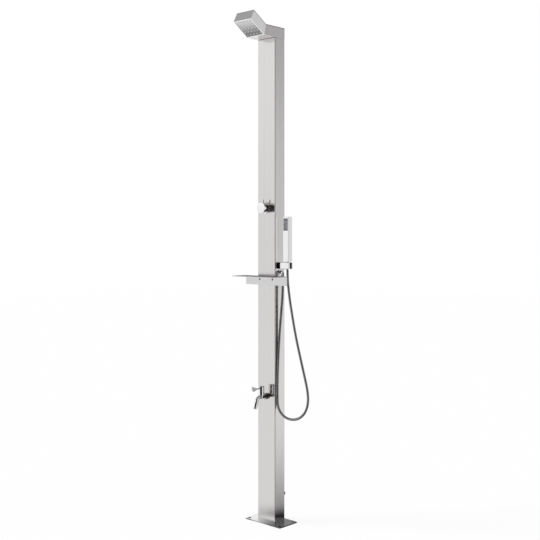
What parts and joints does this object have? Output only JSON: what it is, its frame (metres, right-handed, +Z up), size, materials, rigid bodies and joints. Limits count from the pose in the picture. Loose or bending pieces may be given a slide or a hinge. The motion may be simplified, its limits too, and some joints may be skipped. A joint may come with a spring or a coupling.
{
  "type": "outdoor shower post",
  "caption": "Floor-standing steel outdoor shower column with a tilted overhead spray, mixing knob, shelf, hand shower on a hose, foot tap and hose inlet.",
  "frame": {"origin": "centre of the post's footprint on the underside of the floor plate", "axes": "+Z up along the post, -Y to the front that the knob, shelf and foot tap face, +X to the side that holds the hand shower"},
  "size_m": [0.3406, 0.2598, 2.1408],
  "materials": {
    "brushed_steel": "stainless steel sheet and tube with a fine directional grain",
    "polished_steel": "stainless steel, polished bright",
    "fastener_steel": "plain turned stainless steel",
    "hose_steel": "interlocked steel spiral, bright",
    "brass": "machined brass, hidden in use",
    "pipe_steel": "thin stainless pipe, hidden in use",
    "silicone": "soft grey silicone nozzles",
    "seal_rubber": "black sealing rubber",
    "black_plastic": "matt black plastic",
    "chamber_plastic": "dark moulded plastic, hidden in use",
    "panel_plastic": "blue-grey satin plastic",
    "coupler_plastic": "dark moulded plastic"
  },
  "bodies": {
    "root": {"post_tube": "brushed_steel", "base_plate": "brushed_steel", "head_neck": "brushed_steel", "head_box": "brushed_steel", "spray_plate": "brushed_steel", "shelf": "brushed_steel", "head_spigot": "brushed_steel", "valve_ring": "polished_steel", "holder_block": "polished_steel", "hose_elbow": "polished_steel", "hose_nut": "polished_steel", "tap_body": "polished_steel", "tap_wall_flange": "polished_steel", "spout_sleeve": "polished_steel", "head_screws": "fastener_steel", "shelf_screws": "fastener_steel", "holder_screws": "fastener_steel", "chamber_nuts": "fastener_steel", "shelf_rivet_nuts": "fastener_steel", "shower_hose": "hose_steel", "valve_body": "brass", "valve_cartridge": "brass", "tap_tee": "brass", "tap_cartridge": "brass", "tap_lock_nut": "brass", "outlet_fitting": "brass", "outlet_lock_nut": "brass", "inlet_nipple": "brass", "inlet_lock_nut": "brass", "inlet_elbow": "brass", "head_union_nut": "brass", "lower_riser": "pipe_steel", "upper_riser": "pipe_steel", "head_riser": "pipe_steel", "hand_feed_pipe": "pipe_steel", "spray_mat": "silicone", "head_gasket": "seal_rubber", "inlet_seal": "seal_rubber", "holder_spacer": "black_plastic", "spray_chamber": "chamber_plastic", "hose_coupler": "coupler_plastic"},
    "knob": {"knob": "polished_steel", "knob_pin": "polished_steel", "knob_grub_screw": "fastener_steel", "valve_spindle": "fastener_steel"},
    "tap_handle": {"tap_cap": "polished_steel", "tap_lever": "polished_steel", "tap_spindle": "fastener_steel"},
    "hose_end": {"hose_ferrule": "polished_steel"},
    "handset": {"handset_body": "polished_steel", "handset_panel": "panel_plastic", "handset_nozzles": "silicone", "handset_waterway": "chamber_plastic", "handset_nipple": "brass", "hose_washer": "seal_rubber", "hose_cone_nut": "polished_steel"}
  },
  "joints": [
    {"name": "knob_turn", "type": "hinge", "parent": "root", "child": "knob", "pos_m": [0, -0.045, 1.331], "axis": [0, -1, 0], "range_deg": [-90, 90]},
    {"name": "tap_lever_turn", "type": "hinge", "parent": "root", "child": "tap_handle", "pos_m": [0, -0.0626, 0.56], "axis": [0, 0, 1], "range_deg": [0, 90]},
    {"name": "handset_lift", "type": "slide", "parent": "root", "child": "hose_end", "axis": [0, 0, 1], "range_m": [0, 0.04], "deforming": ["shower_hose"]},
    {"name": "handset_turn", "type": "hinge", "parent": "hose_end", "child": "handset", "pos_m": [0.0935, 0, 1.1], "axis": [0, 0, 1], "range_deg": [-180, 180]}
  ]
}
